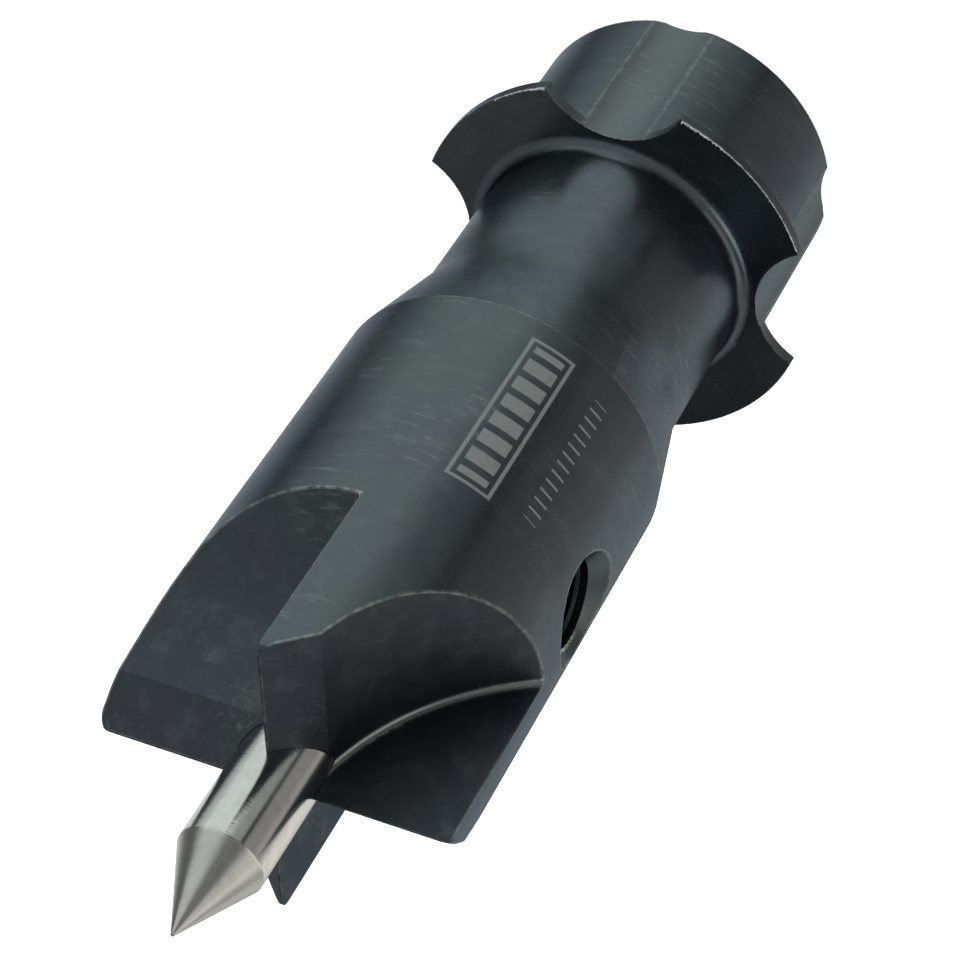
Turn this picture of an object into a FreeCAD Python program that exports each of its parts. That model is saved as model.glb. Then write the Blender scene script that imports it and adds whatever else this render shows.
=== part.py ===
"""Four-prong drive centre for a wood lathe, held by its neck in a scroll chuck.

Three pieces: the one-piece spur body, the replaceable point and the set screw that clamps it.
Millimetres. The origin is the centre of the head's flat back face, and +Z runs along the tool
axis towards the point. One spur points along +X, and the set screw hole is in line with it.
"""

import FreeCAD, Part
import math
import os
import re
import Sketcher
from FreeCAD import Placement, Rotation, Vector

# Driving dimensions in millimetres: alias, value, what it is.
DIMENSIONS = [
    ("body_dia", 33.0, "front body, and the circle of the spur tips"),
    ("body_length", 95.0, "back face to the spur edges"),
    ("front_corner", 1.2, "radius on the outer corner of each spur"),
    ("head_dia", 32.7, "round head behind the flange"),
    ("flange_dia", 41.3, "thin flange in front of the head"),
    ("flange_front", 19.7, "height of the flange's front face"),
    ("flange_thick", 1.2, "thickness of the flange"),
    ("neck_dia", 27.7, "neck that the chuck jaws grip"),
    ("neck_end", 36.9, "height where the neck meets the cone"),
    ("cone_end", 48.2, "height where the cone meets the front body"),
    ("neck_fillet", 1.3, "radius between the flange and the neck"),
    ("back_chamfer", 0.5, "chamfer on the back edge of the head"),
    ("spur_count", 4, "number of spurs, gullets and scallops"),
    ("scallop_radius", 8.0, "radius of each scallop"),
    ("scallop_centre", 23.4, "distance of a scallop's centre from the axis"),
    ("edge_land", 0.15, "thickness of a spur's front edge"),
    ("cutter_radius", 25.4, "radius of the cutter that swept each gullet"),
    ("cutter_offset", 28.34, "distance of the cutter's centre from the axis"),
    ("cutter_ahead", 2.87, "cutter's centre ahead of the spur edges"),
    ("gullet_fillet", 0.75, "radius in the corner of each gullet"),
    ("bore_dia", 8.08, "bore for the point"),
    ("bore_bottom", 52.0, "height of the bore's shoulder"),
    ("drill_cone", 2.4, "depth of the drilled cone below the shoulder"),
    ("point_dia", 8.0, "ground point"),
    ("point_back", 52.4, "height of the point's back face at rest"),
    ("point_chamfer", 0.5, "chamfer on the back edge of the point"),
    ("point_shoulder", 104.0, "height where the point's cone begins"),
    ("point_tip", 112.3, "height of the point's tip"),
    ("tip_flat", 0.15, "radius of the tiny flat on the tip"),
    ("screw_height", 65.8, "height of the set screw's axis"),
    ("thread_minor", 7.94, "tapped hole over its thread crests"),
    ("thread_depth", 0.7, "depth of a thread groove in the hole"),
    ("thread_pitch", 1.5875, "16 threads to the inch"),
    ("thread_start", 4.3, "distance of the first thread groove from the axis"),
    ("runout_depth", 0.28, "depth of the thread where it runs out into the countersink"),
    ("sink_dia", 11.7, "countersink of the tapped hole at the body's crown"),
    ("screw_dia", 7.8, "set screw over its thread crests"),
    ("screw_groove", 0.5, "depth of a groove in the screw's thread"),
    ("screw_start", 4.1, "distance of the screw's cup from the tool axis"),
    ("screw_length", 7.9, "length of the set screw"),
    ("screw_chamfer", 0.7, "chamfer on both ends of the screw"),
    ("socket_flats", 4.76, "hex socket across its flats"),
    ("socket_depth", 4.2, "depth of the hex socket"),
    ("cup_radius", 2.1, "rim of the screw's cup point"),
    ("cup_depth", 0.8, "depth of the cup"),
]
ALIASES = {alias for alias, _, _ in DIMENSIONS}

OVERCUT = 2.0        # how far a cut runs past the surface it leaves through
HOLE_THREADS = 6     # whole thread grooves in the tapped hole, before the run-out
SCREW_THREADS = 4    # thread grooves on the set screw
HOLE_FLANK = 0.45    # a hole groove's flank, as a share of the pitch along the axis
SCREW_CREST = 0.15   # half of a crest between two screw grooves, as a share of the pitch
SCREW_FLANK = 0.3    # a screw groove's flank, as a share of the pitch along the axis
FIRST_GROOVE = 0.1   # how far the screw's first groove stands off its chamfer
TOLERANCE = 1e-4     # for finding an edge by its place
SEAM_ANGLE = 45.0    # between two spurs, in degrees

H_AXIS = -1          # a sketch's own axes, as its constraints name them
V_AXIS = -2

doc = FreeCAD.newDocument("drive_centre")


# ---------------------------------------------------------------------------
# The sheet, and helpers for sketches that follow it
# ---------------------------------------------------------------------------
def make_sheet():
    sheet = doc.addObject("Spreadsheet::Sheet", "Dimensions")
    for row, (alias, value, meaning) in enumerate(DIMENSIONS, start=1):
        sheet.set(f"A{row}", alias)
        sheet.set(f"B{row}", str(value))
        sheet.set(f"C{row}", meaning)
        sheet.setAlias(f"B{row}", alias)
    doc.recompute()
    return sheet


def bound(formula):
    """Point every alias in a formula at the sheet, for use in an expression."""
    def prefix(match):
        word = match.group(0)
        return f"Dimensions.{word}" if word in ALIASES else word
    return re.sub(r"[a-z_]+", prefix, formula)


def value_of(formula):
    return float(sheet.evalExpression(bound(formula)))


def new_body(name):
    body = doc.addObject("PartDesign::Body", name)
    body.Label = name
    return body


def origin_plane(body, role):
    return next(item for item in body.Origin.OriginFeatures if item.Role == role)


def new_sketch(body, name, role):
    sketch = body.newObject("Sketcher::SketchObject", name)
    sketch.AttachmentSupport = [(origin_plane(body, role), "")]
    sketch.MapMode = "FlatFace"
    return sketch


def turn_off_spurs(sketch):
    """Turn an upright sketch to 45 degrees, so that its revolved seam lies between spurs."""
    sketch.AttachmentOffset = Placement(Vector(), Rotation(Vector(0, 1, 0), SEAM_ANGLE))


def pin_coordinate(sketch, geometry, end, direction, formula):
    """Hold one coordinate of a sketch point at the formula's value."""
    value = value_of(formula)
    if abs(value) < TOLERANCE:
        axis = V_AXIS if direction == "DistanceX" else H_AXIS
        sketch.addConstraint(Sketcher.Constraint("PointOnObject", geometry, end, axis))
        return
    index = sketch.addConstraint(
        Sketcher.Constraint(direction, H_AXIS, 1, geometry, end, value))
    sketch.setExpression(f"Constraints[{index}]", bound(formula))


def add_outline(sketch, corners):
    """Draw a closed outline of straight lines whose corners are pairs of formulas."""
    places = [Vector(value_of(across), value_of(up), 0) for across, up in corners]
    lines = []
    for here, there in zip(places, places[1:] + places[:1]):
        lines.append(sketch.addGeometry(Part.LineSegment(here, there), False))
    for line, following in zip(lines, lines[1:] + lines[:1]):
        sketch.addConstraint(Sketcher.Constraint("Coincident", line, 2, following, 1))
    for line, (across, up) in zip(lines, corners):
        pin_coordinate(sketch, line, 1, "DistanceX", across)
        pin_coordinate(sketch, line, 1, "DistanceY", up)


def revolve(body, kind, sketch, axis_name):
    """Turn a sketch a full circle about one of its own axes, as a Revolution or a Groove."""
    feature = body.newObject(kind, sketch.Name + "_turned")
    feature.Profile = sketch
    feature.ReferenceAxis = (sketch, [axis_name])
    feature.Angle = 360.0
    doc.recompute()
    return feature


def polar_pattern(body, feature, name):
    """Repeat a cut about the tool axis, once for each spur."""
    pattern = body.newObject("PartDesign::PolarPattern", name)
    pattern.Originals = [feature]
    pattern.Axis = (origin_plane(body, "Z_Axis"), [""])
    pattern.Angle = 360.0
    pattern.setExpression("Occurrences", "Dimensions.spur_count")
    body.Tip = pattern
    doc.recompute()
    return pattern


def round_edges(body, kind, name, base, edges, size_property, formula):
    """Fillet or chamfer the edges of the base that are listed by their numbers."""
    feature = body.newObject(kind, name)
    feature.Base = (base, [f"Edge{number}" for number in edges])
    feature.setExpression(size_property, bound(formula))
    doc.recompute()
    return feature


def circle_edges(shape, radius, height):
    """Numbers of the full circles about the tool axis at one radius and height."""
    found = []
    for number, edge in enumerate(shape.Edges, start=1):
        curve = edge.Curve
        if not isinstance(curve, Part.Circle):
            continue
        same_radius = abs(curve.Radius - radius) < TOLERANCE
        same_height = abs(curve.Center.z - height) < TOLERANCE
        if same_radius and same_height:
            found.append(number)
    return found


def arc_edges(shape, radius):
    """Numbers of the curved edges of one radius that stand upright, in any direction."""
    found = []
    for number, edge in enumerate(shape.Edges, start=1):
        curve = edge.Curve
        if isinstance(curve, Part.Circle) and abs(curve.Radius - radius) < TOLERANCE:
            if abs(curve.Axis.z) < TOLERANCE:
                found.append(number)
    return found


def check_cut(name, before, after):
    """Stop if a cut took nothing away, which a wrong direction does without an error."""
    if after.Shape.Volume > before.Shape.Volume - 1.0:
        raise RuntimeError(f"{name} removed no material")


# ---------------------------------------------------------------------------
# The spur body: turned blank, scallops, bore, tapped hole and gullets
# ---------------------------------------------------------------------------
def turned_blank(body):
    sketch = new_sketch(body, "blank_profile", "XZ_Plane")
    turn_off_spurs(sketch)
    add_outline(sketch, [
        ("0", "0"),
        ("head_dia / 2", "0"),
        ("head_dia / 2", "flange_front - flange_thick"),
        ("flange_dia / 2", "flange_front - flange_thick"),
        ("flange_dia / 2", "flange_front"),
        ("neck_dia / 2", "flange_front"),
        ("neck_dia / 2", "neck_end"),
        ("body_dia / 2", "cone_end"),
        ("body_dia / 2", "body_length"),
        ("0", "body_length"),
    ])
    blank = revolve(body, "PartDesign::Revolution", sketch, "V_Axis")
    neck_root = circle_edges(blank.Shape, value_of("neck_dia / 2"), value_of("flange_front"))
    filleted = round_edges(body, "PartDesign::Fillet", "neck_root", blank, neck_root,
                           "Radius", "neck_fillet")
    front = circle_edges(filleted.Shape, value_of("body_dia / 2"), value_of("body_length"))
    cornered = round_edges(body, "PartDesign::Fillet", "front_corner", filleted, front,
                           "Radius", "front_corner")
    back = circle_edges(cornered.Shape, value_of("head_dia / 2"), 0.0)
    return round_edges(body, "PartDesign::Chamfer", "back_chamfer", cornered, back,
                       "Size", "back_chamfer")


def cut_scallops(body, before):
    """Round scallops parallel to the axis, through the flange and shallowly into the head."""
    sketch = new_sketch(body, "scallop_profile", "XY_Plane")
    centre = Vector(value_of("scallop_centre"), 0, 0)
    circle = sketch.addGeometry(
        Part.Circle(centre, Vector(0, 0, 1), value_of("scallop_radius")), False)
    pin_coordinate(sketch, circle, 3, "DistanceX", "scallop_centre")
    pin_coordinate(sketch, circle, 3, "DistanceY", "0")
    radius = sketch.addConstraint(
        Sketcher.Constraint("Radius", circle, value_of("scallop_radius")))
    sketch.setExpression(f"Constraints[{radius}]", "Dimensions.scallop_radius")
    scallop = body.newObject("PartDesign::Pocket", "scallop")
    scallop.Profile = sketch
    scallop.setExpression("Length", "Dimensions.flange_front")
    scallop.Reversed = True
    doc.recompute()
    pattern = polar_pattern(body, scallop, "scallops")
    check_cut("scallops", before, pattern)
    return pattern


def bore_for_point(body, before):
    """Blind bore from the front, with the cone that a drill leaves at its bottom."""
    sketch = new_sketch(body, "bore_profile", "XZ_Plane")
    turn_off_spurs(sketch)
    add_outline(sketch, [
        ("0", "bore_bottom - drill_cone"),
        ("bore_dia / 2", "bore_bottom"),
        ("bore_dia / 2", f"body_length + {OVERCUT}"),
        ("0", f"body_length + {OVERCUT}"),
    ])
    bore = revolve(body, "PartDesign::Groove", sketch, "V_Axis")
    check_cut("bore", before, bore)
    return bore


def tapped_hole(body, before):
    """Radial hole along +X into the bore: thread grooves, then a 90 degree countersink.

    Past the last whole groove the thread runs out, shallower, into the countersink.
    """
    sketch = new_sketch(body, "tapped_profile", "XZ_Plane")
    sketch.AttachmentOffset = Placement(Vector(0, value_of("screw_height"), 0), Rotation())
    sketch.setExpression("AttachmentOffset.Base.y", "Dimensions.screw_height")
    crest = "thread_minor / 2"
    root = "thread_minor / 2 + thread_depth"
    corners = [("0", "0"), ("0", crest)]
    for turn in range(HOLE_THREADS):
        start = f"thread_start + {turn} * thread_pitch"
        corners.append((start, crest))
        corners.append((f"{start} + {HOLE_FLANK} * thread_pitch", root))
        corners.append((f"{start} + (1 - {HOLE_FLANK}) * thread_pitch", root))
    end = f"thread_start + {HOLE_THREADS} * thread_pitch"
    corners.append((end, crest))
    corners.append((f"{end} + runout_depth", f"{crest} + runout_depth"))
    corners.append((f"body_dia / 2 - sink_dia / 2 + {crest} + runout_depth", f"{crest} + runout_depth"))
    corners.append((f"body_dia / 2 + {OVERCUT}", f"sink_dia / 2 + {OVERCUT}"))
    corners.append((f"body_dia / 2 + {OVERCUT}", "0"))
    add_outline(sketch, corners)
    hole = revolve(body, "PartDesign::Groove", sketch, "H_Axis")
    check_cut("tapped hole", before, hole)
    return hole


def gullet_profile(body):
    """Side view of one gullet: a 45 degree bevel from the spur's edge, then the cutter's arc.

    The sketch lies on the flat face of the spur along +X, and the next spur's edge is its
    left corner.
    """
    sketch = new_sketch(body, "gullet_profile", "XZ_Plane")
    sketch.AttachmentOffset = Placement(Vector(0, 0, -value_of("edge_land / 2")), Rotation())
    sketch.setExpression("AttachmentOffset.Base.z", "-Dimensions.edge_land / 2")
    front = value_of("body_length")
    edge_x = value_of("edge_land / 2")
    outer_x = value_of("body_dia / 2") + OVERCUT
    centre = Vector(value_of("cutter_offset"), front + value_of("cutter_ahead"), 0)
    radius = value_of("cutter_radius")

    # Where the bevel, which falls as fast as it runs outward, meets the cutter's circle.
    lead = edge_x + front - centre.y
    half = (centre.x + lead) / 2
    crease_x = half - math.sqrt(half ** 2 - (centre.x ** 2 + lead ** 2 - radius ** 2) / 2)
    crease = Vector(crease_x, front + edge_x - crease_x, 0)
    outer = Vector(outer_x, centre.y - math.sqrt(radius ** 2 - (outer_x - centre.x) ** 2), 0)

    edge = Vector(edge_x, front, 0)
    above_edge = Vector(edge_x, front + OVERCUT, 0)
    above_outer = Vector(outer_x, front + OVERCUT, 0)
    start_angle = math.atan2(crease.y - centre.y, crease.x - centre.x) + 2 * math.pi
    end_angle = math.atan2(outer.y - centre.y, outer.x - centre.x) + 2 * math.pi
    sweep = Part.ArcOfCircle(Part.Circle(centre, Vector(0, 0, 1), radius),
                             start_angle, end_angle)
    bevel = sketch.addGeometry(Part.LineSegment(edge, crease), False)
    arc = sketch.addGeometry(sweep, False)
    side = sketch.addGeometry(Part.LineSegment(outer, above_outer), False)
    top = sketch.addGeometry(Part.LineSegment(above_outer, above_edge), False)
    back = sketch.addGeometry(Part.LineSegment(above_edge, edge), False)
    joins = [(bevel, 2, arc, 1), (arc, 2, side, 1), (side, 2, top, 1),
             (top, 2, back, 1), (back, 2, bevel, 1)]
    for join in joins:
        sketch.addConstraint(Sketcher.Constraint("Coincident", *join))
    sketch.addConstraint(Sketcher.Constraint("Vertical", side))
    sketch.addConstraint(Sketcher.Constraint("Horizontal", top))
    sketch.addConstraint(Sketcher.Constraint("Vertical", back))
    sketch.addConstraint(Sketcher.Constraint("Angle", bevel, math.radians(-45)))
    pin_coordinate(sketch, bevel, 1, "DistanceX", "edge_land / 2")
    pin_coordinate(sketch, bevel, 1, "DistanceY", "body_length")
    pin_coordinate(sketch, side, 2, "DistanceX", f"body_dia / 2 + {OVERCUT}")
    pin_coordinate(sketch, side, 2, "DistanceY", f"body_length + {OVERCUT}")
    pin_coordinate(sketch, arc, 3, "DistanceX", "cutter_offset")
    pin_coordinate(sketch, arc, 3, "DistanceY", "body_length + cutter_ahead")
    size = sketch.addConstraint(Sketcher.Constraint("Radius", arc, radius))
    sketch.setExpression(f"Constraints[{size}]", "Dimensions.cutter_radius")
    return sketch


def cut_gullets(body, before):
    sketch = gullet_profile(body)
    gullet = body.newObject("PartDesign::Pocket", "gullet")
    gullet.Profile = sketch
    gullet.setExpression("Length", "Dimensions.body_dia")
    doc.recompute()
    pattern = polar_pattern(body, gullet, "gullets")
    check_cut("gullets", before, pattern)
    corners = arc_edges(pattern.Shape, value_of("cutter_radius"))
    return round_edges(body, "PartDesign::Fillet", "gullet_corners", pattern, corners,
                       "Radius", "gullet_fillet")


def make_spur_body():
    body = new_body("spur_body")
    blank = turned_blank(body)
    scalloped = cut_scallops(body, blank)
    bored = bore_for_point(body, scalloped)
    tapped = tapped_hole(body, bored)
    cut_gullets(body, tapped)
    return body


# ---------------------------------------------------------------------------
# The point and its set screw
# ---------------------------------------------------------------------------
def make_center_point():
    body = new_body("center_point")
    sketch = new_sketch(body, "point_profile", "XZ_Plane")
    add_outline(sketch, [
        ("0", "point_back"),
        ("point_dia / 2 - point_chamfer", "point_back"),
        ("point_dia / 2", "point_back + point_chamfer"),
        ("point_dia / 2", "point_shoulder"),
        ("tip_flat", "point_tip"),
        ("0", "point_tip"),
    ])
    revolve(body, "PartDesign::Revolution", sketch, "V_Axis")
    return body


def screw_blank(body):
    """The screw turned about +X: cup, chamfers and thread grooves, from a sketch on its axis."""
    sketch = new_sketch(body, "screw_profile", "XZ_Plane")
    sketch.AttachmentOffset = Placement(Vector(0, value_of("screw_height"), 0), Rotation())
    sketch.setExpression("AttachmentOffset.Base.y", "Dimensions.screw_height")
    crest = "screw_dia / 2"
    root = "screw_dia / 2 - screw_groove"
    corners = [
        ("screw_start + cup_depth", "0"),
        ("screw_start", "cup_radius"),
        ("screw_start", "screw_dia / 2 - screw_chamfer"),
        ("screw_start + screw_chamfer", crest),
    ]
    for turn in range(SCREW_THREADS):
        start = f"screw_start + screw_chamfer + {FIRST_GROOVE} + {turn} * thread_pitch"
        end = f"{start} + thread_pitch"
        corners.append((f"{start} + {SCREW_CREST} * thread_pitch", crest))
        corners.append((f"{start} + ({SCREW_CREST} + {SCREW_FLANK}) * thread_pitch", root))
        corners.append((f"{end} - ({SCREW_CREST} + {SCREW_FLANK}) * thread_pitch", root))
        corners.append((f"{end} - {SCREW_CREST} * thread_pitch", crest))
    corners.append(("screw_start + screw_length - screw_chamfer", crest))
    corners.append(("screw_start + screw_length", "screw_dia / 2 - screw_chamfer"))
    corners.append(("screw_start + screw_length", "0"))
    add_outline(sketch, corners)
    return revolve(body, "PartDesign::Revolution", sketch, "H_Axis")


def hexagon_sketch(body):
    """Hex socket on the screw's outer end, with two flats upright."""
    sketch = new_sketch(body, "socket_profile", "YZ_Plane")
    offset = Vector(0, value_of("screw_height"), value_of("screw_start + screw_length"))
    sketch.AttachmentOffset = Placement(offset, Rotation())
    sketch.setExpression("AttachmentOffset.Base.y", "Dimensions.screw_height")
    sketch.setExpression("AttachmentOffset.Base.z", bound("screw_start + screw_length"))
    radius = value_of("socket_flats / sqrt(3)")
    guide = sketch.addGeometry(Part.Circle(Vector(), Vector(0, 0, 1), radius), True)
    sketch.addConstraint(Sketcher.Constraint("Coincident", guide, 3, H_AXIS, 1))
    size = sketch.addConstraint(Sketcher.Constraint("Radius", guide, radius))
    sketch.setExpression(f"Constraints[{size}]", bound("socket_flats / sqrt(3)"))
    angles = [math.radians(30 + 60 * corner) for corner in range(6)]
    corners = [Vector(radius * math.cos(turn), radius * math.sin(turn), 0) for turn in angles]
    flats = []
    for here, there in zip(corners, corners[1:] + corners[:1]):
        flats.append(sketch.addGeometry(Part.LineSegment(here, there), False))
    for flat, following in zip(flats, flats[1:] + flats[:1]):
        sketch.addConstraint(Sketcher.Constraint("Coincident", flat, 2, following, 1))
        sketch.addConstraint(Sketcher.Constraint("PointOnObject", flat, 2, guide))
    for flat in flats[1:]:
        sketch.addConstraint(Sketcher.Constraint("Equal", flats[0], flat))
    sketch.addConstraint(Sketcher.Constraint("Vertical", flats[2]))
    return sketch


def make_set_screw():
    body = new_body("set_screw")
    blank = screw_blank(body)
    socket = body.newObject("PartDesign::Pocket", "socket")
    socket.Profile = hexagon_sketch(body)
    socket.setExpression("Length", "Dimensions.socket_depth")
    doc.recompute()
    check_cut("hex socket", blank, socket)
    return body


# ---------------------------------------------------------------------------
# Build, test and write
# ---------------------------------------------------------------------------
def test_document():
    """Stop on any failed object, because a recompute doesn't raise an error by itself."""
    doc.recompute()
    for item in doc.Objects:
        if "Invalid" in item.State or "Error" in item.State:
            raise RuntimeError(f"{item.Name} failed: {item.State}")


def write_parts(bodies):
    os.makedirs("parts", exist_ok=True)
    for body in bodies:
        shape = body.Shape
        if shape.isNull() or not shape.isValid():
            raise RuntimeError(f"{body.Label} has no valid shape")
        if len(shape.Solids) != 1:
            raise RuntimeError(f"{body.Label} has {len(shape.Solids)} solids")
        shape.exportStep(f"parts/{body.Label}.step")
        box = shape.BoundBox
        print(f"{body.Label}: {shape.Volume:.1f} mm3, height {box.ZMin:.2f} to {box.ZMax:.2f}")


sheet = make_sheet()
pieces = [make_spur_body(), make_center_point(), make_set_screw()]
test_document()
write_parts(pieces)
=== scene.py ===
"""Looks for the four-prong drive centre: materials, small pieces, camera, floor and light.

Metres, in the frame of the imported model: +Z runs along the tool axis towards the point, the
origin is the centre of the head's back face, and one spur and the set screw lie along +X.
"""
import math

import bmesh
import bpy
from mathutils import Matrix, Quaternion, Vector, noise


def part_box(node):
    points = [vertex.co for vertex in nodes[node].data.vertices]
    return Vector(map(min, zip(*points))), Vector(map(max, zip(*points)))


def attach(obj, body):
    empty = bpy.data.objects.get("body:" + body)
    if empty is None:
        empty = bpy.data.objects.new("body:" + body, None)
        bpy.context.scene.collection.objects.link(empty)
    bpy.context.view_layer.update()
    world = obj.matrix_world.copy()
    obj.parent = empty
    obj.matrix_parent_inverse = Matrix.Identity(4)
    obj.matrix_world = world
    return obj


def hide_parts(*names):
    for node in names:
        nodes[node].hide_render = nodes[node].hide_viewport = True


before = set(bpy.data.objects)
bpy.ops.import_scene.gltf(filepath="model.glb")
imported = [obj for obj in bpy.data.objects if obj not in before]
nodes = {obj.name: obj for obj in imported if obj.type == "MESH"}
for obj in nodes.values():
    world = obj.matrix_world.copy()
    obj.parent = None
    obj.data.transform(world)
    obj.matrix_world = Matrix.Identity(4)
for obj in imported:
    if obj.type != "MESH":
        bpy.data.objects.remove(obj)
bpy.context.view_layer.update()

MM = 0.001


# ---------------------------------------------------------------------------
# Camera
# ---------------------------------------------------------------------------
def direction(azimuth, elevation):
    """Unit vector at an azimuth from +X and an elevation, both in degrees."""
    turn = math.radians(azimuth)
    lift = math.radians(elevation)
    return Vector((math.cos(lift) * math.cos(turn), math.cos(lift) * math.sin(turn), math.sin(lift)))


CAMERA_AIM = Vector((0.0008, -0.0004, 0.0536))
CAMERA_DISTANCE = 0.2807
CAMERA_AZIMUTH = 65.7
CAMERA_ELEVATION = 41.7
CAMERA_ROLL = math.radians(-147.1)
CAMERA_LENS = 113.7
CAMERA_SENSOR = 36.0


def add_camera():
    """The camera looks down past the point, and is rolled so that the point hangs lower left."""
    away = direction(CAMERA_AZIMUTH, CAMERA_ELEVATION)
    data = bpy.data.cameras.new("photo_camera")
    data.lens = CAMERA_LENS
    data.sensor_width = CAMERA_SENSOR
    data.clip_start = 0.01
    data.clip_end = 20.0
    camera = bpy.data.objects.new("photo_camera", data)
    bpy.context.scene.collection.objects.link(camera)
    camera.location = CAMERA_AIM + CAMERA_DISTANCE * away
    camera.rotation_mode = "QUATERNION"
    level = (-away).to_track_quat("-Z", "Y")
    camera.rotation_quaternion = level @ Quaternion((0.0, 0.0, 1.0), CAMERA_ROLL)
    bpy.context.scene.camera = camera


# ---------------------------------------------------------------------------
# Node helpers
# ---------------------------------------------------------------------------
class Graph:
    """Short ways to add nodes to one node tree."""

    def __init__(self, tree):
        self.tree = tree
        tree.nodes.clear()

    def node(self, kind, **settings):
        made = self.tree.nodes.new(kind)
        for name, value in settings.items():
            setattr(made, name, value)
        return made

    def feed(self, socket, value):
        """Link a socket or set a plain value."""
        if isinstance(value, bpy.types.NodeSocket):
            self.tree.links.new(value, socket)
        else:
            socket.default_value = value

    def math(self, operation, first, second=0.0):
        made = self.node("ShaderNodeMath", operation=operation)
        self.feed(made.inputs[0], first)
        self.feed(made.inputs[1], second)
        return made.outputs[0]

    def vector(self, operation, first, second=(0.0, 0.0, 0.0)):
        made = self.node("ShaderNodeVectorMath", operation=operation)
        self.feed(made.inputs[0], first)
        self.feed(made.inputs[1], second)
        return made.outputs["Value" if operation in ("DOT_PRODUCT", "LENGTH") else "Vector"]

    def combine(self, x=0.0, y=0.0, z=0.0):
        made = self.node("ShaderNodeCombineXYZ")
        for socket, value in zip(made.inputs, (x, y, z)):
            self.feed(socket, value)
        return made.outputs[0]

    def separate(self, vector):
        made = self.node("ShaderNodeSeparateXYZ")
        self.feed(made.inputs[0], vector)
        return made.outputs

    def smooth(self, value, low, high, start=0.0, end=1.0):
        """Run from start to end as the value goes from low to high, with an eased ramp."""
        made = self.node("ShaderNodeMapRange", interpolation_type="SMOOTHSTEP")
        for name, number in (("From Min", low), ("From Max", high), ("To Min", start), ("To Max", end)):
            made.inputs[name].default_value = number
        self.feed(made.inputs["Value"], value)
        return made.outputs[0]

    def noise(self, vector, scale=1.0, detail=2.0, roughness=0.5):
        made = self.node("ShaderNodeTexNoise", noise_dimensions="3D")
        self.feed(made.inputs["Vector"], vector)
        made.inputs["Scale"].default_value = scale
        made.inputs["Detail"].default_value = detail
        made.inputs["Roughness"].default_value = roughness
        return made.outputs["Fac"]

    def mix(self, factor, first, second):
        """Mix two colours, two vectors or two numbers."""
        if isinstance(first, bpy.types.NodeSocket):
            kind = first.type
        else:
            kind = "VALUE" if isinstance(first, float) else "RGBA"
        made = self.node("ShaderNodeMix", data_type="FLOAT" if kind == "VALUE" else kind)
        inputs = [socket for socket in made.inputs if socket.type == kind and socket.name in "AB"]
        self.feed(made.inputs[0], factor)
        self.feed(inputs[0], first)
        self.feed(inputs[1], second)
        return next(socket for socket in made.outputs if socket.type == kind)

    def stretched_noise(self, across, up, along, detail, roughness):
        """Noise over three lengths that are already scaled, for streaks and tool lines."""
        return self.noise(self.combine(across, up, along), 1.0, detail, roughness)

    def bump(self, shader, height, strength, distance, normal=None):
        """Give a shader fine relief, over its own surface direction or over another."""
        made = self.node("ShaderNodeBump")
        made.inputs["Strength"].default_value = strength
        made.inputs["Distance"].default_value = distance
        self.feed(made.inputs["Height"], height)
        if normal is not None:
            self.feed(made.inputs["Normal"], normal)
        self.feed(shader.inputs["Normal"], made.outputs[0])


def new_material(name):
    material = bpy.data.materials.new(name)
    material.use_nodes = True
    graph = Graph(material.node_tree)
    output = graph.node("ShaderNodeOutputMaterial")
    shader = graph.node("ShaderNodeBsdfPrincipled")
    graph.feed(output.inputs["Surface"], shader.outputs[0])
    return material, graph, shader


# ---------------------------------------------------------------------------
# Places on the spur body, as distances in metres from its surfaces
# ---------------------------------------------------------------------------
BODY_RADIUS = 16.5 * MM
HEAD_RADIUS = 16.35 * MM
FLANGE_RADIUS = 20.65 * MM
FLANGE_FRONT = 19.7 * MM
FLANGE_BACK = 18.5 * MM
CONE_END = 48.2 * MM
NECK_END = 36.9 * MM
NECK_RADIUS = 13.85 * MM
NECK_BLEND = 3.5 * MM
SPUR_FRONT = 95.0 * MM
HALF_LAND = 0.075 * MM
SCALLOP_CENTRE = 23.4 * MM
SCALLOP_RADIUS = 8.0 * MM
CUTTER_RADIUS = 25.4 * MM
CUTTER_OFFSET = 28.34 * MM
CUTTER_HEIGHT = 97.87 * MM
GULLET_FOOT = 75.3 * MM
SCREW_HEIGHT = 65.8 * MM
SINK_RADIUS = 5.85 * MM
HOLE_MOUTH = 4.25 * MM
HOLE_GROOVE = 4.8 * MM
LAST_CREST = 13.8 * MM
SCREW_CREST = 3.88 * MM
POINT_RADIUS = 4.0 * MM

# Share of a mask's width that is fully one
FULL_SHARE = 0.35

# Widths of the bare metal along the edges
GULLET_WEAR = 0.24 * MM
SPUR_SIDE_WEAR = 0.26 * MM
SPUR_FRONT_WEAR = 0.15 * MM
FLANGE_FRONT_WEAR = 0.22 * MM
FLANGE_BACK_WEAR = 0.18 * MM
SCALLOP_WEAR = 0.2 * MM
SINK_WEAR = 0.2 * MM
CROWN_WEAR = 0.16 * MM
FAINT_WEAR = 0.5

# Etched marks: where they stand on the body and how large they are
MARK_HEIGHT = 60.0 * MM
PANEL_AZIMUTH = 65.0
PANEL_HALF_WIDTH = 2.3 * MM
PANEL_HALF_LENGTH = 9.6 * MM
PANEL_LINE = 0.35 * MM
BLOCK_HALF_WIDTH = 1.5 * MM
BLOCK_HALF_LENGTH = 8.75 * MM
BLOCK_PITCH = 2.5 * MM
BLOCK_SHARE = 0.66
TICK_AZIMUTH = 43.0
TICK_HALF_WIDTH = 0.8 * MM
TICK_HALF_LENGTH = 8.1 * MM
TICK_PITCH = 1.25 * MM
TICK_SHARE = 0.2


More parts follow.
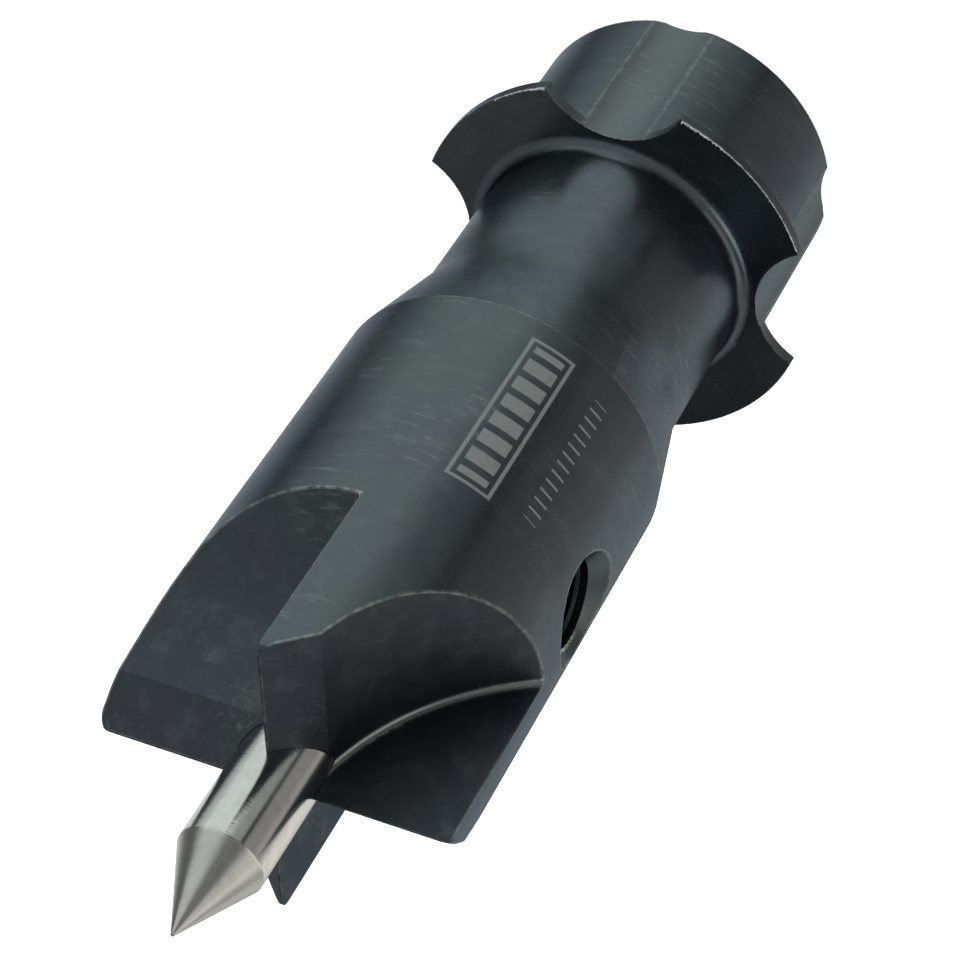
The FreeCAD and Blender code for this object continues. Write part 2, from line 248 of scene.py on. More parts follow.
class Axis:
    """Coordinates about the tool axis, as sockets of one graph."""

    def __init__(self, graph):
        self.graph = graph
        self.position = graph.node("ShaderNodeTexCoord").outputs["Object"]
        self.x, self.y, self.z = graph.separate(self.position)[:]
        self.radius = graph.vector("LENGTH", graph.combine(self.x, self.y, 0.0))
        self.azimuth = graph.math("ARCTAN2", self.y, self.x)
        self.above_screw = graph.math("SUBTRACT", self.z, SCREW_HEIGHT)
        self.hole_reach = graph.vector("LENGTH", graph.combine(self.y, self.above_screw, 0.0))


class Places(Axis):
    """Distance fields of the spur body, as sockets of one graph."""

    def __init__(self, graph):
        super().__init__(graph)
        wide = graph.math("ABSOLUTE", self.x)
        deep = graph.math("ABSOLUTE", self.y)
        same_sign = graph.math("GREATER_THAN", graph.math("MULTIPLY", self.x, self.y), 0.0)
        self.along_spur = graph.mix(same_sign, deep, wide)
        self.off_face = graph.math("SUBTRACT", graph.mix(same_sign, wide, deep), HALF_LAND)
        self.cutter = self.cutter_distance()
        bevel = graph.math("SUBTRACT", graph.math("ADD", self.along_spur, self.z), SPUR_FRONT + HALF_LAND)
        self.bevel = graph.math("MULTIPLY", bevel, math.sqrt(0.5))
        self.scallop = self.scallop_distance(wide, deep)
        mouth = graph.math("ADD", self.x, SINK_RADIUS - BODY_RADIUS)
        self.sink = graph.math("SUBTRACT", self.hole_reach, mouth)
        threaded = graph.smooth(self.x, LAST_CREST - 0.1 * MM, LAST_CREST + 0.1 * MM, 1.0, 0.0)
        within = graph.smooth(self.hole_reach, HOLE_GROOVE, HOLE_GROOVE + 0.1 * MM, 1.0, 0.0)
        self.in_thread = graph.math("MULTIPLY", threaded, within)

    def cutter_distance(self):
        """Distance outside the cylinder that the cutter swept."""
        graph = self.graph
        across = graph.math("SUBTRACT", self.along_spur, CUTTER_OFFSET)
        up = graph.math("SUBTRACT", self.z, CUTTER_HEIGHT)
        reach = graph.vector("LENGTH", graph.combine(across, up, 0.0))
        return graph.math("SUBTRACT", reach, CUTTER_RADIUS)

    def scallop_distance(self, wide, deep):
        """Distance outside the nearest scallop's cylinder."""
        graph = self.graph
        ahead = graph.math("SUBTRACT", graph.math("MAXIMUM", wide, deep), SCALLOP_CENTRE)
        beside = graph.math("MINIMUM", wide, deep)
        reach = graph.vector("LENGTH", graph.combine(ahead, beside, 0.0))
        return graph.math("SUBTRACT", reach, SCALLOP_RADIUS)

    def offset(self, socket, level):
        """Signed distance from a level."""
        return self.graph.math("SUBTRACT", socket, level)

    def near(self, distance, width):
        """One where a distance field is near nought, and nought beyond the width."""
        graph = self.graph
        return graph.smooth(graph.math("ABSOLUTE", distance), width * FULL_SHARE, width, 1.0, 0.0)

    def edge(self, first, second, width):
        """One along the edge where two surfaces meet."""
        return self.graph.math("MULTIPLY", self.near(first, width), self.near(second, width))

    def above_gullets(self, soft):
        """One from the foot of the gullets up to the front."""
        return self.graph.smooth(self.z, GULLET_FOOT - soft, GULLET_FOOT + soft)

    def either(self, *masks):
        joined = masks[0]
        for mask in masks[1:]:
            joined = self.graph.math("MAXIMUM", joined, mask)
        return joined

    def both(self, *masks):
        joined = masks[0]
        for mask in masks[1:]:
            joined = self.graph.math("MULTIPLY", joined, mask)
        return joined


# ---------------------------------------------------------------------------
# Materials
# ---------------------------------------------------------------------------
def milled_mask(places):
    """One on the cut faces of the spurs, nought where the blank was turned."""
    inside = places.graph.smooth(places.radius, BODY_RADIUS - 0.25 * MM, BODY_RADIUS - 0.1 * MM, 1.0, 0.0)
    return places.both(places.above_gullets(0.1 * MM), inside)


def scallop_mask(places):
    """One on the floors of the four scallops in the head, behind the flange's front."""
    low = places.graph.smooth(places.z, FLANGE_FRONT - 0.2 * MM, FLANGE_FRONT - 0.1 * MM, 1.0, 0.0)
    return places.both(low, places.near(places.scallop, 0.15 * MM))


def fillet_mask(places):
    """One in the rounded corner between a spur's flat face and the gullet's floor, where a highlight is
    painted.
    """
    graph = places.graph
    off_face = graph.smooth(places.off_face, 0.02 * MM, 0.12 * MM)
    near_face = graph.smooth(places.off_face, 0.65 * MM, 0.8 * MM, 1.0, 0.0)
    off_floor = graph.smooth(places.cutter, -0.12 * MM, -0.02 * MM, 1.0, 0.0)
    return places.both(places.above_gullets(0.1 * MM), off_face, near_face, off_floor)


def hole_shade_mask(places):
    """One inside the tapped hole, below its countersink, where the hole's shade is painted."""
    graph = places.graph
    inside = graph.smooth(places.hole_reach, HOLE_MOUTH - 0.06 * MM, HOLE_MOUTH + 0.02 * MM, 1.0, 0.0)
    outward = graph.smooth(places.x, POINT_RADIUS, POINT_RADIUS + 0.3 * MM)
    below = graph.smooth(places.radius, BODY_RADIUS - 0.6 * MM, BODY_RADIUS - 0.3 * MM, 1.0, 0.0)
    return places.both(outward, below, graph.math("MAXIMUM", inside, places.in_thread))


def rim_highlight_mask(places):
    """The mouth of the thread, with a painted highlight on one side."""
    graph = places.graph
    mouth = places.offset(places.hole_reach, HOLE_MOUTH)
    rim = places.both(places.near(mouth, 0.26 * MM), places.near(places.sink, 0.3 * MM))
    side = graph.math("SUBTRACT", graph.math("MULTIPLY", places.above_screw, 0.72),
                      graph.math("MULTIPLY", places.y, 0.69))
    toward = graph.math("DIVIDE", side, 4.0 * MM)
    return places.both(rim, graph.smooth(toward, 0.45, 0.8))


def worn_edges(places):
    """Bare metal along the outer edges: strongest on the spurs' outlines and the flange."""
    graph = places.graph
    body = places.offset(places.radius, BODY_RADIUS)
    rim = places.offset(places.radius, FLANGE_RADIUS)
    head = places.offset(places.radius, HEAD_RADIUS)
    front = places.offset(places.z, SPUR_FRONT)
    flange_front = places.offset(places.z, FLANGE_FRONT)
    flange_back = places.offset(places.z, FLANGE_BACK)
    cone_end = places.offset(places.z, CONE_END)
    above = graph.smooth(places.z, GULLET_FOOT - 0.2 * MM, GULLET_FOOT)
    below = graph.smooth(places.z, FLANGE_FRONT, FLANGE_FRONT + 0.2 * MM, 1.0, 0.0)
    strong = places.either(
        places.both(above, places.edge(body, places.cutter, GULLET_WEAR)),
        places.both(above, places.edge(body, places.bevel, GULLET_WEAR)),
        places.edge(rim, flange_front, FLANGE_FRONT_WEAR),
        places.edge(rim, flange_back, FLANGE_BACK_WEAR),
        places.edge(places.scallop, flange_front, SCALLOP_WEAR),
        places.edge(body, places.sink, SINK_WEAR))
    faint = places.either(
        places.both(below, places.edge(places.scallop, head, SCALLOP_WEAR)),
        places.edge(body, cone_end, CROWN_WEAR),
        places.both(above, places.edge(body, places.off_face, SPUR_SIDE_WEAR)),
        places.both(places.near(front, SPUR_FRONT_WEAR), above))
    return places.either(strong, graph.math("MULTIPLY", faint, FAINT_WEAR))


def etched_marks(places):
    """A plain etched panel of blocks and a row of ticks, with no letters or figures."""
    graph = places.graph
    on_body = places.near(places.offset(places.radius, BODY_RADIUS), 0.3 * MM)
    from_middle = graph.math("ABSOLUTE", places.offset(places.z, MARK_HEIGHT))

    def bar(distance, half):
        """One within a half width, with a soft edge."""
        soft = 0.05 * MM
        return graph.smooth(distance, half - soft, half + soft, 1.0, 0.0)

    def box(azimuth, half_width, half_length):
        """One in a rectangle laid on the body."""
        turn = graph.math("SUBTRACT", places.azimuth, math.radians(azimuth))
        across = graph.math("ABSOLUTE", graph.math("MULTIPLY", turn, BODY_RADIUS))
        return places.both(bar(across, half_width), bar(from_middle, half_length))

    def repeat(pitch, share):
        """One over a share of each pitch along the height."""
        soft = 0.02
        cell = graph.math("FRACT", graph.math("DIVIDE", places.z, pitch))
        from_centre = graph.math("ABSOLUTE", graph.math("SUBTRACT", cell, 0.5))
        return graph.smooth(from_centre, share / 2 - soft, share / 2 + soft, 1.0, 0.0)

    outside = box(PANEL_AZIMUTH, PANEL_HALF_WIDTH, PANEL_HALF_LENGTH)
    inside = box(PANEL_AZIMUTH, PANEL_HALF_WIDTH - PANEL_LINE, PANEL_HALF_LENGTH - PANEL_LINE)
    frame_line = graph.math("SUBTRACT", outside, inside)
    blocks = places.both(box(PANEL_AZIMUTH, BLOCK_HALF_WIDTH, BLOCK_HALF_LENGTH),
                         repeat(BLOCK_PITCH, BLOCK_SHARE))
    ticks = places.both(box(TICK_AZIMUTH, TICK_HALF_WIDTH, TICK_HALF_LENGTH),
                        repeat(TICK_PITCH, TICK_SHARE))
    return places.both(on_body, places.either(frame_line, blocks, ticks))


def turned_relief(places):
    """Fine lathe lines round the axis."""
    graph = places.graph
    return graph.stretched_noise(graph.math("MULTIPLY", places.radius, 5200.0),
                                 graph.math("MULTIPLY", places.z, 5200.0),
                                 graph.math("MULTIPLY", places.azimuth, 0.35), 2.0, 0.6)


def milled_relief(places):
    """Fine cutter lines that run along each gullet and up each scallop."""
    graph = places.graph
    return graph.stretched_noise(graph.math("MULTIPLY", places.cutter, 3500.0),
                                 graph.math("MULTIPLY", places.along_spur, 2600.0),
                                 graph.math("MULTIPLY", places.off_face, 120.0), 2.0, 0.6)


def scuffs(places):
    """Fine light scuffs round the axis, in patches where the part has been handled."""
    graph = places.graph
    lines = graph.stretched_noise(graph.math("MULTIPLY", places.z, 2400.0),
                                  graph.math("MULTIPLY", places.radius, 2400.0),
                                  graph.math("MULTIPLY", places.azimuth, 5.0), 3.0, 0.65)
    where = graph.smooth(graph.noise(places.position, 75.0, 2.0, 0.5), 0.48, 0.62)
    return graph.math("MULTIPLY", graph.smooth(lines, 0.55, 0.68), where)


def blended_neck(places):
    """Shading direction that softens the crease between neck and cone; the mesh keeps the crease."""
    graph = places.graph
    slope = (BODY_RADIUS - NECK_RADIUS) / (CONE_END - NECK_END)
    tilt = graph.smooth(places.z, NECK_END - NECK_BLEND, NECK_END + NECK_BLEND, 0.0, -slope)
    local = graph.combine(graph.math("DIVIDE", places.x, places.radius),
                          graph.math("DIVIDE", places.y, places.radius), tilt)
    turned = graph.node("ShaderNodeVectorTransform", vector_type="NORMAL", convert_from="OBJECT",
                        convert_to="WORLD")
    graph.feed(turned.inputs[0], local)
    outside = graph.smooth(places.radius, NECK_RADIUS - 0.4 * MM, NECK_RADIUS - 0.2 * MM)
    from_joint = graph.math("ABSOLUTE", places.offset(places.z, NECK_END))
    near_joint = graph.smooth(from_joint, 0.6 * NECK_BLEND, NECK_BLEND, 1.0, 0.0)
    own_direction = graph.node("ShaderNodeNewGeometry").outputs["Normal"]
    return graph.mix(graph.math("MULTIPLY", outside, near_joint), own_direction, turned.outputs[0])


# Colours of the black steel, from its plain finishes to its marks, painted shade and painted highlights
TURNED_COOL = (0.100, 0.114, 0.130, 1.0)
TURNED_WARM = (0.110, 0.128, 0.130, 1.0)
MILLED_COOL = (0.066, 0.075, 0.090, 1.0)
MILLED_WARM = (0.074, 0.086, 0.090, 1.0)
# Painted shade: darker colour for the spurs' flat faces
FLAT_FACE_SHADE = (0.040, 0.046, 0.056, 1.0)
SCALLOP_FLOOR = (0.175, 0.195, 0.195, 1.0)
PALE_MOTTLE = (0.155, 0.170, 0.175, 1.0)
SCUFFED = (0.30, 0.32, 0.32, 1.0)
BARE_EDGE = (0.38, 0.40, 0.39, 1.0)
# Painted highlight: light colour along the gullets' rounded corners
FILLET_HIGHLIGHT = (0.26, 0.28, 0.26, 1.0)
# Painted shade: near black inside the tapped hole
HOLE_SHADE = (0.008, 0.009, 0.010, 1.0)
# Painted highlight: near white on one side of the thread's mouth
RIM_HIGHLIGHT = (0.85, 0.86, 0.80, 1.0)
ETCHED = (0.36, 0.38, 0.37, 1.0)
BLACK_SHEEN = (0.50, 0.55, 0.60, 1.0)


class Finish:
    """Masks and noises that the black steel's colour, roughness and relief share."""

    def __init__(self, places):
        graph = places.graph
        self.places = places
        self.patches = graph.noise(places.position, 90.0, 3.0, 0.55)
        self.mottle = graph.noise(places.position, 420.0, 4.0, 0.6)
        self.grain = graph.noise(places.position, 2600.0, 2.0, 0.6)
        self.ragged = graph.smooth(graph.noise(places.position, 1100.0, 4.0, 0.7), 0.36, 0.6)
        self.milled = milled_mask(places)
        self.scallop = scallop_mask(places)
        self.fillet = fillet_mask(places)
        self.etched = places.both(etched_marks(places), graph.smooth(self.grain, 0.2, 0.5, 0.72, 1.0))


def black_colour(finish):
    """Turned and milled shades, with each layer laid over the last: mottle, scuffs, worn edges and etching,
    and painted shade and painted highlights.
    """
    places = finish.places
    graph = places.graph
    warmth = graph.smooth(finish.patches, 0.35, 0.65)
    shade = graph.mix(finish.milled, graph.mix(warmth, TURNED_COOL, TURNED_WARM),
                      graph.mix(warmth, MILLED_COOL, MILLED_WARM))
    layers = [
        # Painted shade on the spurs' flat faces
        (places.both(finish.milled, places.near(places.off_face, 0.1 * MM)), 0.35, FLAT_FACE_SHADE),
        (finish.scallop, 0.6, SCALLOP_FLOOR),
        (graph.smooth(finish.mottle, 0.45, 0.75), 0.35, PALE_MOTTLE),
        (scuffs(places), 0.28, SCUFFED),
        (places.both(worn_edges(places), finish.ragged), 0.55, BARE_EDGE),
        # Painted highlight in the gullets' rounded corners
        (finish.fillet, 0.85, FILLET_HIGHLIGHT),
        # Painted shade inside the tapped hole
        (hole_shade_mask(places), 0.85, HOLE_SHADE),
        # Painted highlight on one side of the thread's mouth
        (places.both(rim_highlight_mask(places), finish.ragged), 1.0, RIM_HIGHLIGHT),
        (finish.etched, 1.0, ETCHED),
    ]
    for mask, share, colour in layers:
        shade = graph.mix(graph.math("MULTIPLY", mask, share), shade, colour)
    return shade


def black_roughness(finish):
    """Smooth where turned, duller where milled or etched, brightest in the gullets' corners."""
    graph = finish.places.graph
    rough = graph.mix(finish.milled, 0.27, 0.44)
    rough = graph.mix(finish.scallop, rough, 0.36)
    rough = graph.mix(finish.fillet, rough, 0.2)
    rough = graph.math("ADD", rough, graph.smooth(finish.patches, 0.3, 0.7, -0.02, 0.05))
    rough = graph.math("ADD", rough, graph.smooth(finish.grain, 0.3, 0.7, -0.02, 0.03))
    return graph.mix(finish.etched, rough, 0.6)


def black_relief(finish):
    """Tool lines and grain, with the etched marks a little below the surface."""
    places = finish.places
    graph = places.graph
    milled = places.either(finish.milled, finish.scallop)
    lines = graph.mix(milled, turned_relief(places), milled_relief(places))
    relief = graph.math("ADD", graph.math("MULTIPLY", lines, 0.55),
                        graph.math("MULTIPLY", finish.grain, 0.45))
    return graph.math("SUBTRACT", relief, graph.math("MULTIPLY", finish.etched, 0.4))


def black_steel():
    """Black-oxide steel: turned and milled finishes, worn edges and pale etched marks, with painted shade
    and painted highlights.
    """
    material, graph, shader = new_material("black_oxide_steel")
    places = Places(graph)
    finish = Finish(places)
    metal = graph.math("SUBTRACT", 1.0, graph.math("MULTIPLY", finish.etched, 0.5))
    graph.feed(shader.inputs["Base Color"], black_colour(finish))
    graph.feed(shader.inputs["Metallic"], metal)
    graph.feed(shader.inputs["Roughness"], black_roughness(finish))
    shader.inputs["Specular Tint"].default_value = BLACK_SHEEN
    graph.bump(shader, black_relief(finish), 0.3, 0.03 * MM, blended_neck(places))
    return material


def bright_steel():
    """Ground and polished point: fine lathe lines, faint streaks and a little staining."""
    material, graph, shader = new_material("polished_point_steel")
    axis = Axis(graph)
    streak = graph.stretched_noise(graph.math("MULTIPLY", axis.azimuth, 9.0),
                                   graph.math("MULTIPLY", axis.z, 60.0), 0.0, 3.0, 0.6)
    rings = graph.stretched_noise(graph.math("MULTIPLY", axis.radius, 9000.0),
                                  graph.math("MULTIPLY", axis.z, 9000.0),
                                  graph.math("MULTIPLY", axis.azimuth, 0.3), 1.0, 0.6)
    cloud = graph.noise(axis.position, 700.0, 3.0, 0.6)
    on_cone = graph.smooth(axis.radius, POINT_RADIUS - 0.15 * MM, POINT_RADIUS - 0.03 * MM, 1.0, 0.0)
    polished = graph.mix(streak, (0.56, 0.575, 0.56, 1.0), (0.64, 0.64, 0.615, 1.0))
    stained = graph.mix(graph.smooth(cloud, 0.4, 0.75, 0.0, 0.5), polished, (0.46, 0.45, 0.42, 1.0))
    shade = graph.mix(graph.math("MULTIPLY", on_cone, 0.35), stained, (0.42, 0.41, 0.38, 1.0))
    graph.feed(shader.inputs["Base Color"], shade)
    shader.inputs["Metallic"].default_value = 1.0
    rough = graph.math("ADD", graph.smooth(streak, 0.3, 0.7, 0.13, 0.19),
                       graph.math("MULTIPLY", on_cone, 0.09))
    graph.feed(shader.inputs["Roughness"], rough)
    graph.bump(shader, rings, 0.55, 0.02 * MM)
    return material


def screw_steel():
    """Oily black-oxide alloy screw, lighter on its thread crests."""
    material, graph, shader = new_material("oiled_screw_steel")
    axis = Axis(graph)
    crest = graph.smooth(axis.hole_reach, SCREW_CREST - 0.28 * MM, SCREW_CREST)
    mottle = graph.noise(axis.position, 900.0, 3.0, 0.6)
    oiled = graph.mix(graph.smooth(mottle, 0.35, 0.7), (0.070, 0.074, 0.080, 1.0),
                      (0.115, 0.115, 0.110, 1.0))
    shade = graph.mix(graph.math("MULTIPLY", crest, 0.6), oiled, (0.26, 0.26, 0.25, 1.0))
    graph.feed(shader.inputs["Base Color"], shade)
    shader.inputs["Metallic"].default_value = 1.0
    graph.feed(shader.inputs["Roughness"], graph.smooth(mottle, 0.3, 0.7, 0.20, 0.34))
    graph.bump(shader, graph.noise(axis.position, 3200.0, 2.0, 0.6), 0.25, 0.02 * MM)
    return material


def burr_steel():
    """Bare bright steel of the burr, torn and uneven."""
    material, graph, shader = new_material("bare_burr_steel")
    position = graph.node("ShaderNodeTexCoord").outputs["Object"]
    torn = graph.noise(position, 2400.0, 3.0, 0.7)
    shade = graph.mix(graph.smooth(torn, 0.3, 0.6), (0.45, 0.46, 0.45, 1.0), (0.95, 0.95, 0.93, 1.0))
    graph.feed(shader.inputs["Base Color"], shade)
    shader.inputs["Metallic"].default_value = 0.35
    graph.feed(shader.inputs["Roughness"], graph.smooth(torn, 0.3, 0.7, 0.35, 0.6))
    graph.bump(shader, torn, 0.4, 0.03 * MM)
    return material


def studio_white():
    """Matt white sweep that glows a little, so that the object's shadow stays faint."""
    material, _, shader = new_material("studio_sweep")
    shader.inputs["Base Color"].default_value = (0.9, 0.9, 0.9, 1.0)
    shader.inputs["Roughness"].default_value = 0.9
    shader.inputs["Specular IOR Level"].default_value = 0.0
    shader.inputs["Emission Color"].default_value = (1.0, 1.0, 1.0, 1.0)
    shader.inputs["Emission Strength"].default_value = 0.85
    return material


# ---------------------------------------------------------------------------
# Pieces
# ---------------------------------------------------------------------------
def add_object(name, build, material, smooth_angle=None):
    """Turn a finished bmesh into an object; creases above the angle, if one is given, stay sharp."""
    for face in build.faces:
        face.smooth = True
    mesh = bpy.data.meshes.new(name)
    build.to_mesh(mesh)
    build.free()
    if smooth_angle is not None:
        mesh.set_sharp_from_angle(angle=math.radians(smooth_angle))
    mesh.materials.append(material)
    made = bpy.data.objects.new(name, mesh)
    bpy.context.scene.collection.objects.link(made)
    return made


def add_piece(name, build, material, smooth_angle):
    bmesh.ops.recalc_face_normals(build, faces=build.faces)
    return add_object(name, build, material, smooth_angle)


def add_ring(build, points):
    return [build.verts.new(point) for point in points]


def bridge(build, first, second):
    """Quads between two closed rings with the same number of points."""
    count = len(first)
    for step in range(count):
        following = (step + 1) % count
        build.faces.new((first[step], first[following], second[following], second[step]))


# Set screw: thread, ends, hex socket and cup
THREAD_PITCH = 1.5875 * MM
THREAD_DEPTH = 0.5 * MM
THREAD_CREST_SHARE = 0.15
THREAD_FLANK_SHARE = 0.7
SCREW_CHAMFER = 0.7 * MM
HEX_FLATS = 4.76 * MM
HEX_DEPTH = 4.2 * MM
HEX_LEAD_IN = 0.15 * MM
HEX_LEAD_SCALE = 1.06
HEX_FLOOR_STEP = 0.05 * MM
HEX_FLOOR_SCALE = 0.8
HEX_DRILL_POINT = 0.7 * MM
CUP_RADIUS = 2.1 * MM
CUP_DEPTH = 0.8 * MM
SCREW_AROUND = 72
SCREW_ROWS = 120


class ScrewShape:
    """Radius of the screw's rings about its own axis, which runs along +X."""

    def __init__(self):
        low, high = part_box("set_screw")
        self.inner = low[0]
        self.outer = high[0]
        self.axis_y = (low[1] + high[1]) / 2
        self.axis_z = (low[2] + high[2]) / 2
        self.crest = (high[1] - low[1]) / 2

    def thread(self, x):
        """Radius at each turn for one place along the screw."""
        def radius_of(turn):
            phase = (x / THREAD_PITCH - turn / (2.0 * math.pi)) % 1.0
            slope = (abs(phase - 0.5) * 2.0 - THREAD_CREST_SHARE) / THREAD_FLANK_SHARE
            radius = self.crest - THREAD_DEPTH * (1.0 - min(max(slope, 0.0), 1.0))
            from_end = min(x - self.inner, self.outer - x)
            return min(radius, self.crest - SCREW_CHAMFER + from_end)
        return radius_of

    def hexagon(self, scale=1.0):
        """Radius at each turn of a hexagon across the socket's flats."""
        def radius_of(turn):
            within = (turn + math.pi / 6) % (math.pi / 3) - math.pi / 6
            return scale * HEX_FLATS / 2 / math.cos(within)
        return radius_of

    def ring(self, x, radius_of):
        points = []
        for step in range(SCREW_AROUND):
            turn = 2.0 * math.pi * step / SCREW_AROUND
            radius = radius_of(turn)
            points.append((x, self.axis_y + radius * math.cos(turn), self.axis_z + radius * math.sin(turn)))
        return points

    def on_axis(self, x):
        return x, self.axis_y, self.axis_z


def add_threaded_screw():
    """Set screw with a true helical thread, chamfered ends, hex socket and cup."""
    shape = ScrewShape()
    build = bmesh.new()
    rings = []
    for row in range(SCREW_ROWS + 1):
        x = shape.inner + (shape.outer - shape.inner) * row / SCREW_ROWS
        rings.append(add_ring(build, shape.ring(x, shape.thread(x))))
    socket_floor = shape.outer - HEX_DEPTH
    socket = [(shape.outer, HEX_LEAD_SCALE), (shape.outer - HEX_LEAD_IN, 1.0), (socket_floor, 1.0),
              (socket_floor - HEX_FLOOR_STEP, HEX_FLOOR_SCALE)]
    for x, scale in socket:
        rings.append(add_ring(build, shape.ring(x, shape.hexagon(scale))))
    for first, second in zip(rings, rings[1:]):
        bridge(build, first, second)
    bottom = build.verts.new(shape.on_axis(socket_floor - HEX_DRILL_POINT))
    rim = add_ring(build, shape.ring(shape.inner, lambda turn: CUP_RADIUS))
    bridge(build, rings[0], rim)
    cup = build.verts.new(shape.on_axis(shape.inner + CUP_DEPTH))
    for step in range(SCREW_AROUND):
        following = (step + 1) % SCREW_AROUND
        build.faces.new((rings[-1][step], rings[-1][following], bottom))
        build.faces.new((rim[following], rim[step], cup))
    piece = add_piece("threaded_set_screw", build, screw_steel(), 38.0)
    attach(piece, "set_screw")
    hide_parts("set_screw")


# Burr: how far it is sunk into the flange, and how its height comes about
BURR_STEPS = 260
BURR_SINK = 0.06 * MM
BURR_INSET = 0.005 * MM
BURR_LEAST = 0.09
BURR_RAGGED = 0.75
BURR_LIGHT = 0.4
BURR_HEAVY_SHARE = 0.4


def burr_size(turn, share):
    """Height of the burr at a turn: torn at random, and heaviest near its first end."""
    ragged = noise.noise(Vector((turn * 60.0, 3.1, 0.0))) * 0.5 + 0.5
    fine = noise.noise(Vector((turn * 210.0, 7.7, 0.0))) * 0.5 + 0.5
    heavy = BURR_LIGHT + (1.0 - BURR_LIGHT) * max(1.0 - share / BURR_HEAVY_SHARE, 0.0)
    return heavy * (BURR_LEAST + BURR_RAGGED * ragged * fine) * MM


def burr_strip(build, first_turn, last_turn):
    """Ragged ridge along the flange's front edge, between two azimuths in degrees."""
    foot = FLANGE_FRONT - BURR_SINK
    outer = FLANGE_RADIUS - BURR_INSET
    rows = []
    for step in range(BURR_STEPS + 1):
        share = step / BURR_STEPS
        turn = math.radians(first_turn + (last_turn - first_turn) * share)
        size = burr_size(turn, share)
        section = [(outer, foot), (outer - 0.15 * size, FLANGE_FRONT + 0.7 * size),
                   (outer - 0.9 * size, FLANGE_FRONT + 0.25 * size), (outer - size, foot)]
        rows.append(add_ring(build, [(r * math.cos(turn), r * math.sin(turn), z) for r, z in section]))
    for here, there in zip(rows, rows[1:]):
        bridge(build, here, there)
    build.faces.new(rows[0])
    build.faces.new(rows[-1])


def add_flange_burr():
    """Burr that the scallop cutter left along the front edge of two flange lobes."""
    build = bmesh.new()
    burr_strip(build, 69.9, 20.8)
    burr_strip(build, 110.1, 127.0)
    piece = add_piece("flange_burr", build, burr_steel(), 30.0)
    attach(piece, "spur_body")


# ---------------------------------------------------------------------------
# Floor, backdrop and light
# ---------------------------------------------------------------------------
SWEEP_FLOOR = 0.9
SWEEP_CURVE = 0.5
SWEEP_WALL = 1.4
SWEEP_AROUND = 96
SWEEP_ARC_STEPS = 8


def sweep_profile():
    """Distance out and height of each ring, from the flat floor to the top of the wall."""
    profile = [(SWEEP_FLOOR / 2, 0.0)]
    for step in range(SWEEP_ARC_STEPS + 1):
        turn = math.radians(90.0 * step / SWEEP_ARC_STEPS)
        profile.append((SWEEP_FLOOR + SWEEP_CURVE * math.sin(turn), SWEEP_CURVE * (1.0 - math.cos(turn))))
    profile.append((SWEEP_FLOOR + SWEEP_CURVE, SWEEP_WALL))
    return profile


def add_sweep():
    """A round white floor that curves up into a wall on every side."""
    build = bmesh.new()
    centre = build.verts.new((0.0, 0.0, 0.0))
    rows = []
    for across, up in sweep_profile():
        turns = [2.0 * math.pi * step / SWEEP_AROUND for step in range(SWEEP_AROUND)]
        points = [(across * math.cos(turn), across * math.sin(turn), up) for turn in turns]
        rows.append(add_ring(build, points))
    for step in range(SWEEP_AROUND):
        following = (step + 1) % SWEEP_AROUND
        build.faces.new((centre, rows[0][step], rows[0][following]))
        for inner, outer in zip(rows, rows[1:]):
            build.faces.new((inner[step], outer[step], outer[following], inner[following]))
    sweep = add_object("studio_sweep", build, studio_white())
    sweep.visible_glossy = False
    sweep.visible_diffuse = False
    sweep.visible_shadow = False


# Softboxes of the studio, as the steel sees them: azimuth, half width and softness
# in degrees, lowest and highest elevation and their softness in degrees, brightness, colour.
COOL = (0.93, 1.00, 0.98)
PLAIN = (0.97, 0.99, 1.00)
WARM = (1.00, 0.96, 0.91)
SOFTBOXES = [
    (114.0, 63.0, 3.0, -100.0, -16.0, 12.0, 0.33, COOL),
    (122.0, 46.0, 6.0, -100.0, -16.0, 12.0, 0.24, COOL),
    (118.0, 33.0, 8.0, -100.0, -16.0, 12.0, 0.34, COOL),
    (218.0, 31.0, 4.0, -100.0, -16.0, 12.0, 0.45, PLAIN),
    (218.0, 22.0, 8.0, -100.0, -16.0, 12.0, 0.35, PLAIN),
    (262.0, 16.0, 6.0, -100.0, -16.0, 12.0, 0.22, PLAIN),
    (-16.0, 57.0, 3.0, -100.0, -16.0, 12.0, 0.27, WARM),
    (-43.0, 45.0, 12.0, -100.0, -16.0, 12.0, 0.18, WARM),
    (-58.0, 30.0, 10.0, -100.0, -16.0, 12.0, 0.52, WARM),
    (118.0, 28.0, 12.0, -16.0, 24.0, 12.0, 0.62, COOL),
    (125.0, 45.0, 12.0, 28.0, 100.0, 14.0, 0.17, COOL),
    (4.0, 26.0, 12.0, -16.0, 20.0, 12.0, 0.70, WARM),
    (-46.0, 32.0, 14.0, -16.0, 20.0, 12.0, 0.36, WARM),
    (250.0, 60.0, 14.0, -16.0, 20.0, 12.0, 0.16, PLAIN),
    (65.0, 178.0, 1.0, -16.0, 20.0, 12.0, 0.11, PLAIN),
    (120.0, 123.0, 4.0, 20.0, 100.0, 12.0, 0.33, PLAIN),
    (304.0, 54.0, 4.0, 14.0, 32.0, 8.0, 0.18, PLAIN),
    (-62.0, 26.0, 8.0, 22.0, 44.0, 8.0, 0.34, PLAIN),
    (-22.0, 24.0, 8.0, 50.0, 66.0, 8.0, 2.6, COOL),
]
BASE_LIGHT = 0.045


def band(graph, height, low, high, soft):
    """One while a direction's height lies between two elevations in degrees, with soft ends."""
    def sine(degrees):
        return math.sin(math.radians(min(max(degrees, -90.0), 90.0)))

    rise = 1.0
    if low > -90.0:
        rise = graph.smooth(height, sine(low - soft / 2), sine(low + soft / 2))
    fall = 1.0
    if high < 90.0:
        fall = graph.smooth(height, sine(high - soft / 2), sine(high + soft / 2), 1.0, 0.0)
    return graph.math("MULTIPLY", rise, fall)


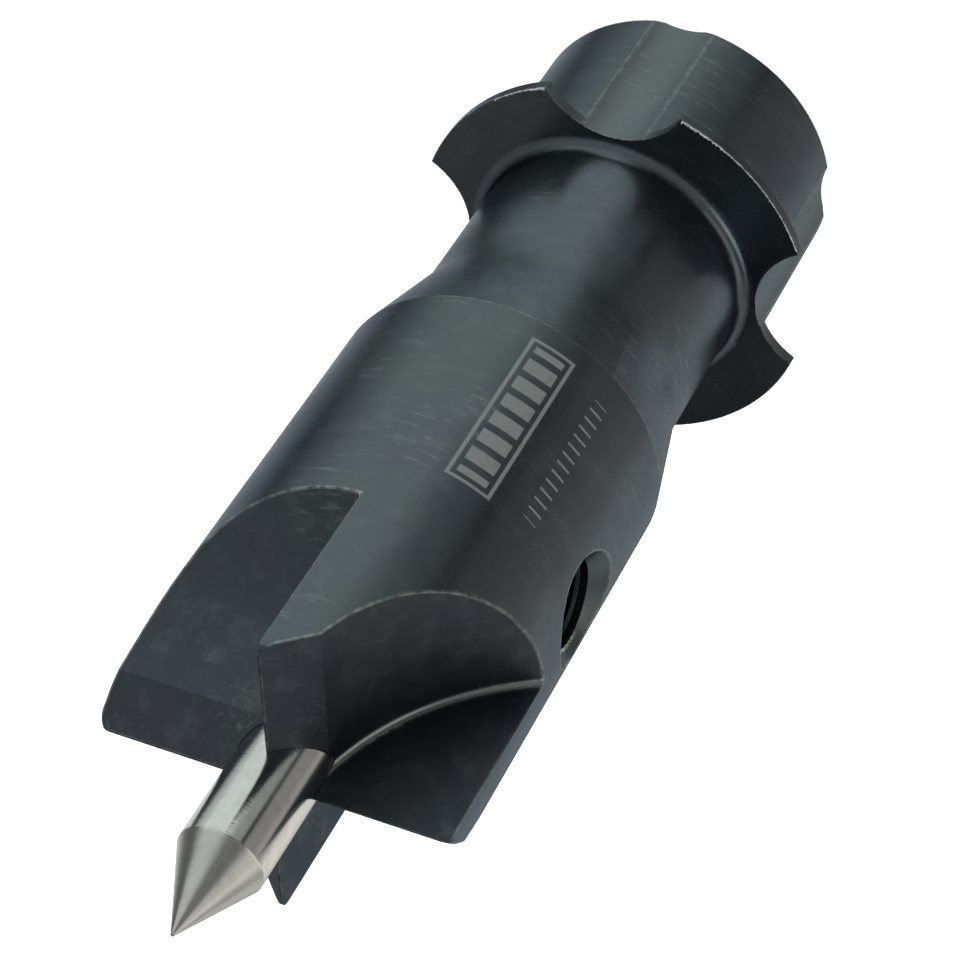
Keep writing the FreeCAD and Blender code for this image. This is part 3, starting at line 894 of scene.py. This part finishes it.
def add_world():
    """Studio light around the object, as a sum of soft-edged boxes by direction."""
    world = bpy.data.worlds.new("studio")
    bpy.context.scene.world = world
    world.use_nodes = True
    graph = Graph(world.node_tree)
    output = graph.node("ShaderNodeOutputWorld")
    background = graph.node("ShaderNodeBackground")
    graph.feed(output.inputs["Surface"], background.outputs[0])
    look = graph.node("ShaderNodeTexCoord").outputs["Generated"]
    x, y, z = graph.separate(look)[:]
    level = graph.vector("NORMALIZE", graph.combine(x, y, 0.0))
    total = graph.vector("MULTIPLY", (BASE_LIGHT, BASE_LIGHT, BASE_LIGHT), PLAIN)
    for azimuth, half, soft, low, high, fade, strength, colour in SOFTBOXES:
        nearness = graph.vector("DOT_PRODUCT", level, tuple(direction(azimuth, 0.0)))
        inside = graph.smooth(nearness, math.cos(math.radians(min(half + soft, 180.0))),
                              math.cos(math.radians(max(half - soft, 0.0))))
        box = graph.math("MULTIPLY", inside, band(graph, z, low, high, fade))
        lit = tuple(strength * part for part in colour)
        total = graph.vector("ADD", total, graph.vector("MULTIPLY", lit, graph.combine(box, box, box)))
    graph.feed(background.inputs["Color"], total)
    background.inputs["Strength"].default_value = 1.0


SUN_ENERGY = 1.2
SUN_ANGLE = math.radians(25.0)


def add_sun():
    """Soft light from behind the object, for the floor. It gives the steel no highlight."""
    data = bpy.data.lights.new("floor_light", "SUN")
    data.energy = SUN_ENERGY
    data.angle = SUN_ANGLE
    sun = bpy.data.objects.new("floor_light", data)
    bpy.context.scene.collection.objects.link(sun)
    sun.rotation_mode = "QUATERNION"
    sun.rotation_quaternion = (-direction(245.0, 62.0)).to_track_quat("-Z", "Y")
    sun.visible_glossy = False


# ---------------------------------------------------------------------------
# Put it together
# ---------------------------------------------------------------------------
def repaint(name, material):
    """Put a material on every slot of a CAD node."""
    for slot in nodes[name].material_slots:
        slot.material = material


add_camera()
add_sweep()
add_world()
add_sun()
bpy.context.scene.view_settings.view_transform = "Standard"
repaint("spur_body", black_steel())
repaint("center_point", bright_steel())
add_threaded_screw()
add_flange_burr()
